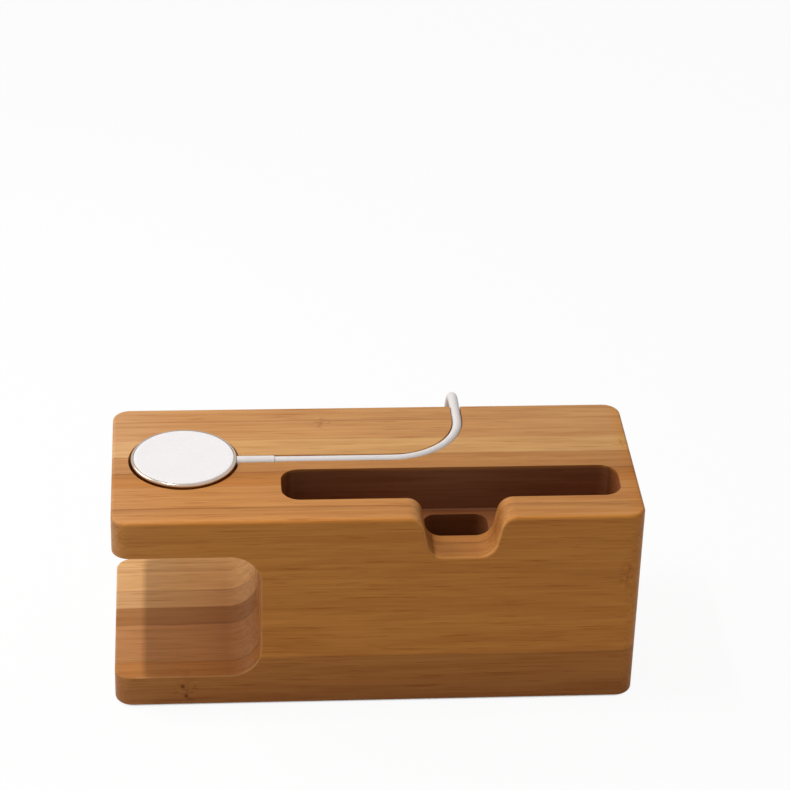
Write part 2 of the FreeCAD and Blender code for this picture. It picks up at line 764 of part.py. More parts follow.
def biarc(start, start_heading, end, end_heading):
    """Two arcs that run smoothly from one point and heading to another."""
    chord = end - start
    headings = start_heading + end_heading
    bend = 2 * (1 - start_heading.dot(end_heading))
    along = chord.dot(headings)
    reach = (math.sqrt(along ** 2 + bend * chord.dot(chord)) - along) / bend
    joint = (start + end + (start_heading - end_heading) * reach) * 0.5
    first = Part.Arc(start, arc_middle(start, start_heading, joint), joint)
    last = Part.Arc(joint, arc_middle(end, end_heading * -1, joint), end)
    return [first, last]


def coil_edges():
    """The coil's line as arcs, with straight ends one cable diameter long."""
    steps = round(coil_total_turns * COIL_STEPS_PER_TURN)
    states = [coil_point(number / COIL_STEPS_PER_TURN) for number in range(steps + 1)]
    first, first_heading = states[0]
    last, last_heading = states[-1]
    edges = [Part.LineSegment(first - first_heading * d.cable_diameter, first)]
    for (start, start_heading), (end, end_heading) in zip(states, states[1:]):
        edges += biarc(start, start_heading, end, end_heading)
    edges.append(Part.LineSegment(last, last + last_heading * d.cable_diameter))
    return edges


def least_gap(edges, diameter):
    """Least clear distance of a tube from itself, measured on points along its line."""
    wire = Part.Wire([edge.toShape() for edge in edges])
    points = wire.discretize(Distance=diameter / 2)
    least = min(first.distanceToPoint(second)
                for number, first in enumerate(points)
                for second in points[number + COIL_NEIGHBOUR_POINTS:])
    return least - diameter


def make_cable():
    """The cable from the puck's collar to the plug, and the place where the plug starts."""
    relief_end = Vector(puck_x + d.puck_diameter / 2 + d.relief_length, puck_y, cable_z)
    bend_start = Vector(exit_x - bend_radius, puck_y, cable_z)
    bend_end = Vector(exit_x, puck_y + bend_radius, cable_z)
    bend_middle = arc_middle(bend_start, Vector(1, 0, 0), bend_end)
    drop = [groove_end + Vector(*point) for point in DROP_FROM_GROOVE]
    in_groove = [
        Part.LineSegment(relief_end, bend_start),
        Part.Arc(bend_start, bend_middle, bend_end),
        Part.LineSegment(bend_end, drop[0]),
    ]
    total = keep_tube("cable_groove_run", in_groove, [bend_radius])

    winding = coil_edges()
    coil_start = winding[0].StartPoint
    coil_end = winding[-1].EndPoint
    drop += [coil_start + Vector(*point) for point in DROP_TO_COIL]
    total += keep_tube("cable_back_drop", *rounded_path(drop))
    total += keep_tube("cable_coil", winding, [])
    print("cable_coil: least gap between its turns %.2f mm" % least_gap(winding, d.cable_diameter))

    tail = [coil_end + Vector(*point) for point in TAIL_FROM_COIL]
    total += keep_tube("cable_tail", *rounded_path(tail))
    print("cable: %.1f mm in all" % total)
    return tail[-1], tail[-1] - tail[-2]


def make_lead_wires():
    """Two wires inside the puck, from the collar's stub down to the board."""
    stub_end = puck_x + d.puck_diameter / 2 - d.stub_length
    board_top = block_top - d.recess_depth + d.puck_height - d.cover_thickness - d.winding_thickness
    board_top -= d.ferrite_thickness
    wires = []
    for side in (-1, 1):
        y = puck_y + side * d.wire_spacing / 2
        route = [Vector(stub_end, y, cable_z), Vector(stub_end - d.wire_reach, y, cable_z),
                 Vector(stub_end - d.wire_reach, y, board_top)]
        edges = rounded_path(route)[0]
        wires.append(tube(edges, d.wire_diameter)[0])
    keep_shape("lead_wires", Part.makeCompound(wires))


def make_cable_tie():
    """A flat band round the coil's turns, where they pass nearest to the block."""
    body = new_body("cable_tie")
    body.Placement.Base = Vector(coil_middle.x, coil_middle.y, 0)
    ring = sketch_on(body, "YZ_Plane", "tie_ring", "-tie_width / 2")
    curve = "tie_width ^ 2 / (8 * coil_inner_radius)"
    first_pass = 1 - TIE_TURN_SHARE
    last_pass = COIL_TURNS_IN - TIE_TURN_SHARE
    inner_turn = "(coil_inner_radius + %s * %s - cable_diameter / 2)" % (COIL_PITCH, first_pass)
    outer_turn = "(coil_inner_radius + %s * %s + cable_diameter / 2)" % (COIL_PITCH, last_pass)
    left = "(-%s - tie_slack)" % outer_turn
    right = "(-%s + tie_slack + %s)" % (inner_turn, curve)
    low = "(table_clearance + tie_thickness)"
    high = "(table_clearance + tie_thickness + 2 * tie_slack + %s + cable_diameter)" % COIL_PITCH
    rounded_rectangle(ring, left, right, low, high, "tie_corner_radius")
    rounded_rectangle(ring, left + " - tie_thickness", right + " + tie_thickness", low + " - tie_thickness",
                      high + " + tie_thickness", "(tie_corner_radius + tie_thickness)")
    pad(body, ring, "tie_width")


# Plug: every piece is drawn along +X from the end of the cable

def plug_body(label, start, heading):
    body = new_body(label)
    angle = math.degrees(math.atan2(heading.y, heading.x))
    body.Placement = FreeCAD.Placement(start, FreeCAD.Rotation(Vector(0, 0, 1), angle))
    return body


def make_plug_relief(start, heading):
    """A tapered collar with grooves round it."""
    body = plug_body("plug_strain_relief", start, heading)
    profile = sketch_on(body, "XZ_Plane", "plug_relief_profile")
    corners = [("0", "0"), ("plug_relief_length", "0"), ("plug_relief_length", "plug_relief_root / 2")]
    tip = "(cable_diameter + 2 * plug_relief_lip)"
    steps = 2 * RELIEF_GROOVE_COUNT + 1
    for step in range(steps - 1, 0, -1):
        along = "plug_relief_length * %d / %d" % (step, steps)
        outside = "(%s + (plug_relief_root - %s) * %d / %d) / 2" % (tip, tip, step, steps)
        inside = outside + " - plug_relief_groove"
        corners += [(along, inside), (along, outside)] if step % 2 else [(along, outside), (along, inside)]
    corners.append(("0", tip + " / 2"))
    polygon(profile, corners)
    revolve(body, profile, "H_Axis")


def make_plug_housing(start, heading):
    body = plug_body("plug_housing", start, heading)
    section = sketch_on(body, "YZ_Plane", "housing_section", "plug_relief_length")
    rounded_rectangle(section, "-housing_width / 2", "housing_width / 2", "-housing_height / 2",
                      "housing_height / 2", "housing_corner_radius")
    pad(body, section, "housing_length")
    round_edges(body, "housing_rounding", "housing_round", on_housing_end)
    socket = sketch_on(body, "YZ_Plane", "plug_socket", "plug_relief_length + housing_length")
    rounded_rectangle(socket, "-plug_width / 2 - socket_clearance", "plug_width / 2 + socket_clearance",
                      "-plug_height / 2 - socket_clearance", "plug_height / 2 + socket_clearance",
                      "plug_corner_radius")
    pocket(body, socket, "socket_depth")


def on_housing_end(edge):
    """True for the edges round the housing's two ends."""
    points = edge_points(edge)
    return all(near(point.x, points[0].x) for point in points)


SOCKET_FLOOR = "plug_relief_length + housing_length - socket_depth"


def make_plug_shell(start, heading):
    """The plug's sheet metal sleeve, with its latch windows."""
    body = plug_body("plug_shell", start, heading)
    section = sketch_on(body, "YZ_Plane", "shell_section", SOCKET_FLOOR)
    rounded_rectangle(section, "-plug_width / 2", "plug_width / 2", "-plug_height / 2", "plug_height / 2",
                      "plug_corner_radius")
    rounded_rectangle(section, "(-plug_width / 2 + plug_wall)", "(plug_width / 2 - plug_wall)",
                      "(-plug_height / 2 + plug_wall)", "(plug_height / 2 - plug_wall)",
                      "(plug_corner_radius - plug_wall)")
    pad(body, section, "plug_length")
    windows = sketch_on(body, "XY_Plane", "latch_windows", "plug_height / 2")
    far = SOCKET_FLOOR + " + plug_length - latch_from_tip"
    for side in ("-", ""):
        middle = side + "latch_spacing / 2"
        rectangle(windows, far + " - latch_size", far, middle + " - latch_size / 2",
                  middle + " + latch_size / 2")
    pocket(body, windows)


def make_plug_tongue(start, heading):
    """The insulator inside the sleeve, against its upper wall."""
    body = plug_body("plug_tongue", start, heading)
    section = sketch_on(body, "YZ_Plane", "tongue_section", SOCKET_FLOOR)
    side = "(plug_width / 2 - plug_wall - tongue_clearance)"
    roof = "plug_height / 2 - plug_wall"
    rectangle(section, "-" + side, side, roof + " - tongue_thickness", roof)
    pad(body, section, "plug_length - tongue_setback")


def make_plug_contacts(start, heading):
    """The contact strips under the tongue."""
    body = plug_body("plug_contacts", start, heading)
    body.AllowCompound = True
    tip = SOCKET_FLOOR + " + plug_length - tongue_setback"
    section = sketch_on(body, "YZ_Plane", "contact_section", tip + " - contact_length")
    high = "plug_height / 2 - plug_wall - tongue_thickness"
    for number in range(CONTACT_COUNT):
        middle = "contact_spacing * %s" % (number - (CONTACT_COUNT - 1) / 2)
        rectangle(section, middle + " - contact_width / 2", middle + " + contact_width / 2",
                  high + " - contact_thickness", high)
    pad(body, section, "contact_length")


# Assembly

make_block()
make_feet()
make_puck_shell()
make_puck_cover()
make_puck_inside()
make_board_parts()
make_strain_relief()
make_lead_wires()
plug_start, plug_heading = make_cable()
make_cable_tie()
make_plug_relief(plug_start, plug_heading)
make_plug_housing(plug_start, plug_heading)
make_plug_shell(plug_start, plug_heading)
make_plug_tongue(plug_start, plug_heading)
make_plug_contacts(plug_start, plug_heading)
doc.recompute()

# Every object and every sub-part's shape is sound before anything is written
for item in doc.Objects:
    if "Invalid" in item.State or "Error" in item.State:
        raise RuntimeError("%s failed: %s" % (item.Name, item.State))
for node in nodes:
    if node.Shape.isNull() or not node.Shape.isValid() or not node.Shape.Solids:
        raise RuntimeError("%s has no valid solid" % node.Label)

os.makedirs("parts", exist_ok=True)
for node in nodes:
    node.Shape.exportStep(os.path.join("parts", node.Label + ".step"))
    print("%-20s %d solids %10.2f mm3" % (node.Label, len(node.Shape.Solids), node.Shape.Volume))
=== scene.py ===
"""Looks of the charging dock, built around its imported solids. Sizes are named in mm and used in metres."""
import json
import math
from collections import namedtuple
import bpy
from mathutils import Matrix, Vector


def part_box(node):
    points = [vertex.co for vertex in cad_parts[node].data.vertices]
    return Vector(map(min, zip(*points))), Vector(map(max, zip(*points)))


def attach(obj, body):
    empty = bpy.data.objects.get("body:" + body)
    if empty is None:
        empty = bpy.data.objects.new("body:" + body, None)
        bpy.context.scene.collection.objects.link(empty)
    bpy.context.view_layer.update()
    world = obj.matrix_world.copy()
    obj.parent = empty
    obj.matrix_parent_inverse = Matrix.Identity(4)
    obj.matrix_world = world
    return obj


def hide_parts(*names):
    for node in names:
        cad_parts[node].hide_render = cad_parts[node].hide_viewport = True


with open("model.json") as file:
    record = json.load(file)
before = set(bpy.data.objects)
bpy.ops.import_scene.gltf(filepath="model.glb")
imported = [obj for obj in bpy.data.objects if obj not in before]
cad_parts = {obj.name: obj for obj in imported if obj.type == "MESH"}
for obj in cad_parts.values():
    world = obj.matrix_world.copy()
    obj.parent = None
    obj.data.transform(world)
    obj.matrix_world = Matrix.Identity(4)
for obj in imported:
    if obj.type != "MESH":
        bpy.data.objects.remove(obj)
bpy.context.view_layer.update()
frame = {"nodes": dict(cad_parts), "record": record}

nodes = frame["nodes"]
MM = 0.001

# Places read from the frame, in mm
block_low, block_high = (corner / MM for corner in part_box("bamboo_block"))
TOP = block_high.z
FRONT = block_low.y
BACK = block_high.y
RIGHT = block_high.x
LEFT = block_low.x
RIM_TOP = max(corner.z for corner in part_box("puck_shell")) / MM

# Camera, fitted to the block's edges in the photograph
EYE = Vector((-51.0, -637.1, 459.4)) * MM
YAW = math.radians(5.03)
PITCH = math.radians(30.78)
ROLL = math.radians(-1.82)
SENSOR_MM = 36.0
LENS_MM = 130.03
NEAREST_SEEN = 10.0

# Cable: its size, and the heights of its middle in the groove and on the table
CABLE_DIAMETER = 2.7
CABLE_Z = 57.1
CABLE_LIE = 1.95
COIL_MIDDLE = Vector((0.0, 68.45, CABLE_LIE))
COIL_INNER_RADIUS = 9.8
COIL_PITCH = 3.2
COIL_TURNS_IN = 4
COIL_CLIMB_TURNS = 0.5
COIL_TURNS_OUT = 3.75
COIL_POINTS_PER_TURN = 24
# Fineness of the cable's curve, round it and along it, and the order of its spline
CABLE_BEVEL_STEPS = 5
CABLE_STEPS = 8
CABLE_ORDER = 3


# Node trees

class Graph:
    """A node tree of a material or of the world, with short calls for the nodes used here."""

    def __init__(self, name, tree=None):
        if tree is None:
            self.material = bpy.data.materials.new(name)
            self.material.use_nodes = True
            tree = self.material.node_tree
        self.tree = tree

    @property
    def shader(self):
        return self.tree.nodes["Principled BSDF"]

    def add(self, kind, **settings):
        node = self.tree.nodes.new("ShaderNode" + kind)
        for key, value in settings.items():
            setattr(node, key, value)
        return node

    def feed(self, socket, value):
        """Give a socket a constant, or link an output to it."""
        if isinstance(value, bpy.types.NodeSocket):
            self.tree.links.new(value, socket)
        else:
            socket.default_value = value

    def set(self, **values):
        """Fill the shader's sockets; an underscore stands for a space in a socket's name."""
        for key, value in values.items():
            self.feed(self.shader.inputs[key.replace("_", " ")], value)

    def math(self, operation, *values):
        node = self.add("Math", operation=operation)
        for socket, value in zip(node.inputs, values):
            self.feed(socket, value)
        return node.outputs[0]

    def product(self, first, *others):
        for other in others:
            first = self.math("MULTIPLY", first, other)
        return first

    def off(self, value, middle):
        """How far a value lies from a middle one."""
        return self.math("ABSOLUTE", self.math("SUBTRACT", value, middle))

    def vector_math(self, operation, *values):
        node = self.add("VectorMath", operation=operation)
        for socket, value in zip(node.inputs, values):
            self.feed(socket, value)
        return node.outputs[0]

    def scale(self, vector, factor):
        node = self.add("VectorMath", operation="SCALE")
        self.feed(node.inputs[0], vector)
        self.feed(node.inputs["Scale"], factor)
        return node.outputs[0]

    def length(self, vector):
        node = self.add("VectorMath", operation="LENGTH")
        self.feed(node.inputs[0], vector)
        return node.outputs["Value"]

    def millimetres(self):
        """The place on the object, in mm."""
        return self.scale(self.add("TexCoord").outputs["Object"], 1 / MM)

    def split(self, vector):
        node = self.add("SeparateXYZ")
        self.feed(node.inputs[0], vector)
        return node.outputs

    def noise(self, vector, scale=1.0, detail=2.0, roughness=0.5):
        node = self.add("TexNoise")
        self.feed(node.inputs["Vector"], vector)
        self.feed(node.inputs["Scale"], scale)
        self.feed(node.inputs["Detail"], detail)
        self.feed(node.inputs["Roughness"], roughness)
        return node.outputs["Fac"]

    def drawn_noise(self, vector, stretch, detail):
        """Noise whose cells are drawn out by the stretch, in cells to the mm."""
        return self.noise(self.vector_math("MULTIPLY", vector, stretch), detail=detail, roughness=0.6)

    def spread(self, value, low, high, to_low=0.0, to_high=1.0, smooth=True):
        """The value carried from one range to another, held at its ends."""
        node = self.add("MapRange", interpolation_type="SMOOTHSTEP" if smooth else "LINEAR")
        for socket, number in zip(node.inputs, (value, low, high, to_low, to_high)):
            self.feed(socket, number)
        return node.outputs[0]

    def mix(self, factor, first, second, blend="MIX"):
        node = self.add("MixRGB", blend_type=blend)
        for socket, value in zip(node.inputs, (factor, first, second)):
            self.feed(socket, value)
        return node.outputs[0]

    def tint(self, factor, colour, tint):
        """The colour, multiplied by the tint as far as the factor says."""
        return self.mix(factor, colour, rgb(*tint), "MULTIPLY")

    def ramp(self, value, stops):
        node = self.add("ValToRGB")
        elements = node.color_ramp.elements
        while len(elements) < len(stops):
            elements.new(1.0)
        for element, (place, colour) in zip(elements, stops):
            element.position = place
            element.color = colour
        self.feed(node.inputs[0], value)
        return node.outputs["Color"]

    def bump(self, height, distance, strength, normal=None):
        node = self.add("Bump")
        self.feed(node.inputs["Height"], height)
        self.feed(node.inputs["Distance"], distance)
        self.feed(node.inputs["Strength"], strength)
        if normal is not None:
            self.feed(node.inputs["Normal"], normal)
        return node.outputs["Normal"]


def rgb(red, green, blue):
    return (red, green, blue, 1.0)


# The range in which most of a noise lies
USUAL_RANGE = (0.3, 0.7)
# The middle of a noise's colour
NOISE_MIDDLE = (0.5, 0.5, 0.5)


# Bamboo

# Tones of the strips, from dark to pale
UMBER = (0.44, 0.19, 0.05)
AMBER = (0.55, 0.22, 0.05)
RUSSET = (0.57, 0.26, 0.08)
HONEY = (0.63, 0.28, 0.08)
GINGER = (0.74, 0.30, 0.06)
WHEAT = (0.66, 0.33, 0.12)
STRAW = (0.73, 0.40, 0.15)
# Partly painted light: this tone also stands for light from behind on the back of the strap gap's floor
CREAM_WITH_PAINTED_LIGHT = (0.85, 0.48, 0.18)
# Glued layers from front to back: where each starts, in mm from the front, its tone above and below the seam
# between the block's two tiers, how much brighter its front is than its middle above the seam, and how dark
# the glue line at its start is. The first is the skin of the second.
Layer = namedtuple("Layer", "start upper lower slope glue")
LAYERS = (
    Layer(0.0, GINGER, AMBER, 0.0, 0.0),
    Layer(1.0, HONEY, AMBER, 0.1, 0.0),
    Layer(7.0, HONEY, RUSSET, 0.0, 1.0),
    Layer(17.5, AMBER, RUSSET, 0.15, 0.3),
    Layer(24.0, RUSSET, UMBER, 0.0, 0.7),
    Layer(32.0, STRAW, STRAW, 0.0, 0.5),
    Layer(40.0, WHEAT, CREAM_WITH_PAINTED_LIGHT, 0.0, 0.5),
    Layer(49.5, WHEAT, CREAM_WITH_PAINTED_LIGHT, 0.0, 0.6),
)
# How far the layers and the seam wander, and half the step from one layer to the next, as a share of the
# block's depth
LAYER_WANDER = 0.6
HALF_STEP = 0.001
# The seam between the tiers: its height, half its blur, and how dark its glue is
TIER_SEAM = 15.5
TIER_BLUR = 0.5
TIER_GLUE = 0.3
# Glue lines: their reach to each side, how strongly they show, where they are faintest, and their tint
GLUE_REACH = 0.6
GLUE_SHARE = 0.65
GLUE_FAINTEST = 0.45
GLUE_TINT = (0.45, 0.30, 0.20)
# Grain: cells of noise to the mm along, across and up the block, and the noise's detail
Grain = namedtuple("Grain", "stretch detail")
FIBRE = Grain((0.020, 1.7, 1.7), 4)
STREAK = Grain((0.030, 0.55, 0.55), 3)
DASH = Grain((0.075, 1.6, 1.6), 2)
SLOW = Grain((0.012, 0.16, 0.10), 2)
WANDER = Grain((0.025, 0.0, 0.05), 1)
SPECK = Grain((0.35, 1.3, 1.3), 2)
# The range of its noise over which each comes in
FIBRE_RANGE = (0.3, 0.72)
STREAK_RANGE = (0.35, 0.7)
DASH_RANGE = (0.54, 0.74)
SPECK_RANGE = (0.52, 0.68)
# How strongly each shows, and its tint; fibres show less on faces that look up
FIBRE_SHARE = 0.50
FIBRE_SHARE_ON_TOP = 0.32
UPWARD_RANGE = (0.5, 0.9)
FIBRE_TINT = (0.79, 0.68, 0.55)
STREAK_SHARE = 0.55
STREAK_TINT = (0.76, 0.66, 0.58)
DASH_SHARE = 0.55
DASH_TINT = (0.64, 0.50, 0.40)
SLOW_SHARE = 0.14
SLOW_TINT = (0.60, 0.50, 0.42)
SPECK_SHARE = 0.6
SPECK_TINT = (0.45, 0.32, 0.24)
# Nodes of the bamboo, where the grain is disturbed: their middles and their reach in mm
KNOTS = (
    ((-50.0, -26.5, 5.5), (5.0, 5.0, 6.5)),
    ((65.0, -27.0, 40.0), (3.5, 3.0, 8.0)),
    ((67.0, 7.8, 57.0), (4.0, 3.5, 4.0)),
    ((-13.0, 19.8, 57.5), (4.0, 4.0, 4.0)),
    ((44.0, 27.0, 34.0), (4.0, 4.0, 9.0)),
    ((-22.0, 26.5, 52.0), (4.0, 4.0, 6.0)),
    ((30.0, 25.0, 8.0), (4.0, 4.0, 6.0)),
)
# The share of a knot's reach that is full, and how far the grain is pushed there by a swirl of noise
KNOT_CORE = 0.2
KNOT_PUSH = 5.0
SWIRL_CELLS = 0.30
# The dark line across a knot: its reach, how far it wavers, the waver's noise, and how strongly it shows
KNOT_LINE_REACH = 0.6
KNOT_WAVER = 1.6
WAVER_CELLS = 0.5
KNOT_LINE_SHARE = 0.6
# Small dark eyes in the first knot, with their radius, and the share of it that is full
EYES = (((-51.1, -28.0, 6.6), 0.9), ((-50.3, -28.0, 3.5), 0.8))
EYE_TINT = (0.42, 0.30, 0.26)
EYE_CORE = 0.3
# The milled slot, whose walls are darkened by painted shade: its middle and half its size, how far past its
# walls the painted shade ends and is full, how far below the top it starts and is full, and the heights
# where it comes in
SLOT_MIDDLE = (19.6, -10.6)
SLOT_HALF = (44.5, 7.35)
SLOT_PAINTED_SHADE = (0.58, 0.54, 0.84)
SLOT_EDGE = (0.12, 0.02)
SLOT_BELOW_TOP = (0.2, 1.2)
SLOT_HEIGHTS = (8.0, 12.0)
# The finger notch, darkened a little by painted shade: its middle, half its width and its floor, and how far
# from its sides, the top, the floor and the front the painted shade fades
NOTCH_MIDDLE = 21.3
NOTCH_HALF = 13.0
NOTCH_FLOOR = 45.0
NOTCH_PAINTED_SHADE = (0.82, 0.77, 0.70)
NOTCH_SIDE_FADE = 1.5
NOTCH_BELOW_TOP = (0.2, 2.5)
NOTCH_FLOOR_FADE = 0.5
NOTCH_BEHIND_FRONT = (0.05, 1.2)
# The left end is painted paler over this length, as painted light from the left
LEFT_LIGHT_LENGTH = 22.0
LEFT_PAINTED_LIGHT = (1.02, 1.08, 1.30)
# Painted shade near the floor, darker towards the bottom: how high it reaches, and its tint
FOOT_HEIGHT = 12.0
FOOT_PAINTED_SHADE = (0.84, 0.80, 0.86)
# The end grain on the right has drunk more oil
OILED_REACH = 4.6
OILED_END = (1.0, 0.90, 0.64)
# Rounded edges round the front and back faces are paler, partly rubbed wear and partly a painted highlight:
# how far in from the face that starts and ends, over what length it fades, how far from the ends and below
# the top it comes in, and how strong it is
WEAR_SHEEN_FROM = 0.04
WEAR_SHEEN_TO = 0.75
WEAR_SHEEN_FADE_IN = 0.2
WEAR_SHEEN_FADE_OUT = 0.35
WEAR_SHEEN_FROM_END = (4.6, 7.0)
WEAR_SHEEN_BELOW_TOP = (0.5, 1.8)
WEAR_SHEEN_SHARE = (0.16, 0.34)
WEAR_SHEEN_TONE = (0.80, 0.50, 0.24)
# Gloss of the oiled wood: rougher with its fibres and in its dashes
BAMBOO_SPECULAR = 0.12
ROUGH_RANGE = (0.3, 0.75)
BAMBOO_ROUGHNESS = (0.40, 0.52)
DASH_ROUGHNESS = 0.12
# Relief of the fibres, and how deep dashes and glue lines lie in it; the bump's depth, its strength, and the
# radius that softens sharp edges
FIBRE_RELIEF = 0.6
DASH_RELIEF = 0.5
GLUE_RELIEF = 0.6
GRAIN_DEPTH = 0.05
GRAIN_STRENGTH = 0.5
EDGE_SOFTNESS = 0.15
EDGE_SAMPLES = 4


def find_knots(graph, place):
    """How near a knot's middle the place is, and how much of a knot's dark line is there."""
    knot = 0.0
    knot_line = 0.0
    waver = graph.noise(place, scale=WAVER_CELLS, detail=2)
    waver = graph.spread(waver, 0.0, 1.0, -KNOT_WAVER, KNOT_WAVER, smooth=False)
    for where, reach in KNOTS:
        offset = graph.vector_math("SUBTRACT", place, where)
        near = graph.spread(graph.length(graph.vector_math("DIVIDE", offset, reach)), 1.0, KNOT_CORE)
        knot = graph.math("MAXIMUM", knot, near)
        bent = graph.math("ADD", graph.split(offset)[0], waver)
        ridge = graph.spread(graph.math("ABSOLUTE", bent), KNOT_LINE_REACH, 0.0)
        knot_line = graph.math("MAXIMUM", knot_line, graph.math("MULTIPLY", near, ridge))
    return knot, knot_line


def push_aside(graph, place, knot):
    """The place, swirled near a knot, so that the grain runs round it."""
    swirl = graph.add("TexNoise")
    graph.feed(swirl.inputs["Vector"], place)
    graph.feed(swirl.inputs["Scale"], SWIRL_CELLS)
    centred = graph.vector_math("SUBTRACT", swirl.outputs["Color"], NOISE_MIDDLE)
    return graph.vector_math("ADD", place, graph.scale(centred, graph.math("MULTIPLY", knot, KNOT_PUSH)))


def layer_stops(tones, slopes):
    """Stops of a ramp from front to back, with each layer's tone brighter at its front by its slope."""
    depth = BACK - FRONT
    starts = [layer.start for layer in LAYERS]
    ends = [*starts[1:], depth]
    stops = []
    for start, end, tone, slope in zip(starts, ends, tones, slopes):
        stops.append((start / depth + HALF_STEP, rgb(*(Vector(tone) * (1 + slope)))))
        stops.append((end / depth - HALF_STEP, rgb(*(Vector(tone) * (1 - slope)))))
    return stops


def lay_layers(graph, y, z, place, slow):
    """The colour of the glued layers in their two tiers, and how much glue shows."""
    wander = graph.drawn_noise(place, *WANDER)
    layer_y = graph.math("ADD", y, graph.spread(wander, 0.0, 1.0, -LAYER_WANDER, LAYER_WANDER, smooth=False))
    tier_z = graph.math("ADD", z, graph.spread(wander, 0.0, 1.0, LAYER_WANDER, -LAYER_WANDER, smooth=False))
    across = graph.spread(layer_y, FRONT, BACK, smooth=False)
    slopes = [layer.slope for layer in LAYERS]
    level = [0.0] * len(LAYERS)
    upper = graph.ramp(across, layer_stops([layer.upper for layer in LAYERS], slopes))
    lower = graph.ramp(across, layer_stops([layer.lower for layer in LAYERS], level))
    below = graph.spread(tier_z, TIER_SEAM + TIER_BLUR, TIER_SEAM - TIER_BLUR)
    glue = graph.spread(graph.off(tier_z, TIER_SEAM), TIER_BLUR, 0.0, 0.0, TIER_GLUE)
    for layer in LAYERS[1:]:
        line = graph.spread(graph.off(layer_y, FRONT + layer.start), GLUE_REACH, 0.0, 0.0, layer.glue)
        glue = graph.math("MAXIMUM", glue, line)
    glue = graph.math("MULTIPLY", glue, graph.spread(slow, *USUAL_RANGE, GLUE_FAINTEST, 1.0))
    return graph.mix(below, upper, lower), glue


def paint_shade_in_hollows(graph, colour, x, y, z):
    """The colour with painted shade on the slot's walls and in the finger notch."""
    slot_x, slot_y = SLOT_MIDDLE
    half_x, half_y = SLOT_HALF
    outside, inside = SLOT_EDGE
    start, full = SLOT_BELOW_TOP
    slot_shade = graph.product(
        graph.spread(graph.off(x, slot_x), half_x + outside, half_x + inside),
        graph.spread(graph.off(y, slot_y), half_y + outside, half_y + inside),
        graph.spread(z, TOP - start, TOP - full),
        graph.spread(z, *SLOT_HEIGHTS))
    # painted shade darkens the slot's walls
    colour = graph.tint(slot_shade, colour, SLOT_PAINTED_SHADE)
    start, full = NOTCH_BELOW_TOP
    bare, shaded = NOTCH_BEHIND_FRONT
    notch_shade = graph.product(
        graph.spread(graph.off(x, NOTCH_MIDDLE), NOTCH_HALF, NOTCH_HALF - NOTCH_SIDE_FADE),
        graph.spread(z, TOP - start, TOP - full),
        graph.spread(z, NOTCH_FLOOR - NOTCH_FLOOR_FADE, NOTCH_FLOOR),
        graph.spread(y, FRONT + bare, FRONT + shaded),
        graph.spread(y, slot_y, slot_y - half_y))
    # painted shade darkens the finger notch
    return graph.tint(notch_shade, colour, NOTCH_PAINTED_SHADE)


def paint_edge_wear_and_sheen(graph, colour, x, y, z, slow):
    """The colour with the edges round the front and back faces paler, from rubbed wear and a painted
    highlight.
    """
    inward = graph.math("MINIMUM", graph.math("SUBTRACT", y, FRONT), graph.math("SUBTRACT", BACK, y))
    from_end = graph.math("SUBTRACT", RIGHT, graph.math("ABSOLUTE", x))
    start, full = WEAR_SHEEN_BELOW_TOP
    wear_and_sheen = graph.product(
        graph.spread(inward, WEAR_SHEEN_FROM, WEAR_SHEEN_FROM + WEAR_SHEEN_FADE_IN),
        graph.spread(inward, WEAR_SHEEN_TO, WEAR_SHEEN_TO - WEAR_SHEEN_FADE_OUT),
        graph.spread(from_end, *WEAR_SHEEN_FROM_END),
        graph.spread(z, TOP - start, TOP - full),
        graph.spread(slow, *USUAL_RANGE, *WEAR_SHEEN_SHARE))
    # paler edges: rubbed wear and a painted highlight
    return graph.mix(wear_and_sheen, colour, rgb(*WEAR_SHEEN_TONE))


